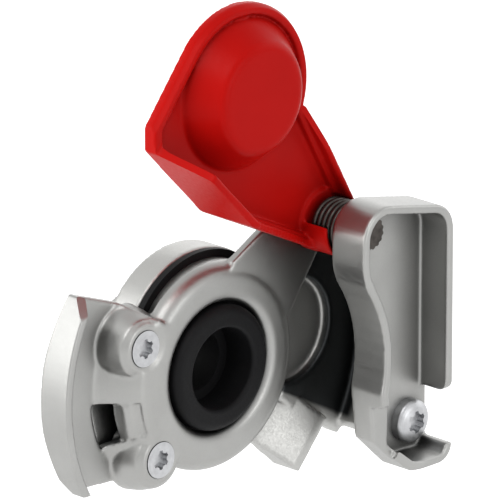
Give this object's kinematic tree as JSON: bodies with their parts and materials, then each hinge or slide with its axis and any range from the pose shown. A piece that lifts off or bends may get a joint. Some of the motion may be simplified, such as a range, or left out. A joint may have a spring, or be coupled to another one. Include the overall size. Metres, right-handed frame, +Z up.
{
  "type": "gladhand air brake coupler",
  "caption": "Palm-type air brake coupling head: pressed claw plate, rubber face seal, hook bracket and a red swivelling dust cover on a cast aluminium body.",
  "frame": {"origin": "centre of the rear port's mouth, on the seal's axis", "axes": "+Y out of the rear port, so the sealing face looks along -Y; +Z up; +X towards the hook bracket"},
  "size_m": [0.1158, 0.0624, 0.1382],
  "materials": {
    "cast_aluminium": "as cast",
    "pressed_steel": "satin zinc",
    "black_rubber": "matte",
    "red_plastic": "moulded satin gloss",
    "screw_steel": "zinc plated",
    "dark_steel": "oiled"
  },
  "bodies": {
    "coupling": {"body_casting": "cast_aluminium", "flange_gasket": "black_rubber", "claw_plate": "pressed_steel", "face_seal": "black_rubber", "claw_screw_upper": "screw_steel", "claw_screw_lower": "screw_steel", "hook_bracket": "pressed_steel", "bracket_screw": "screw_steel", "hinge_pin": "dark_steel", "pin_clip": "dark_steel", "cover_spring": "dark_steel"},
    "cover": {"dust_cover": "red_plastic"}
  },
  "joints": [
    {"name": "cover_swing", "type": "hinge", "parent": "coupling", "child": "cover", "pos_m": [0.0355, -0.0396, 0.0344], "axis": [0, -1, 0], "range_deg": [0, 98.5]}
  ]
}
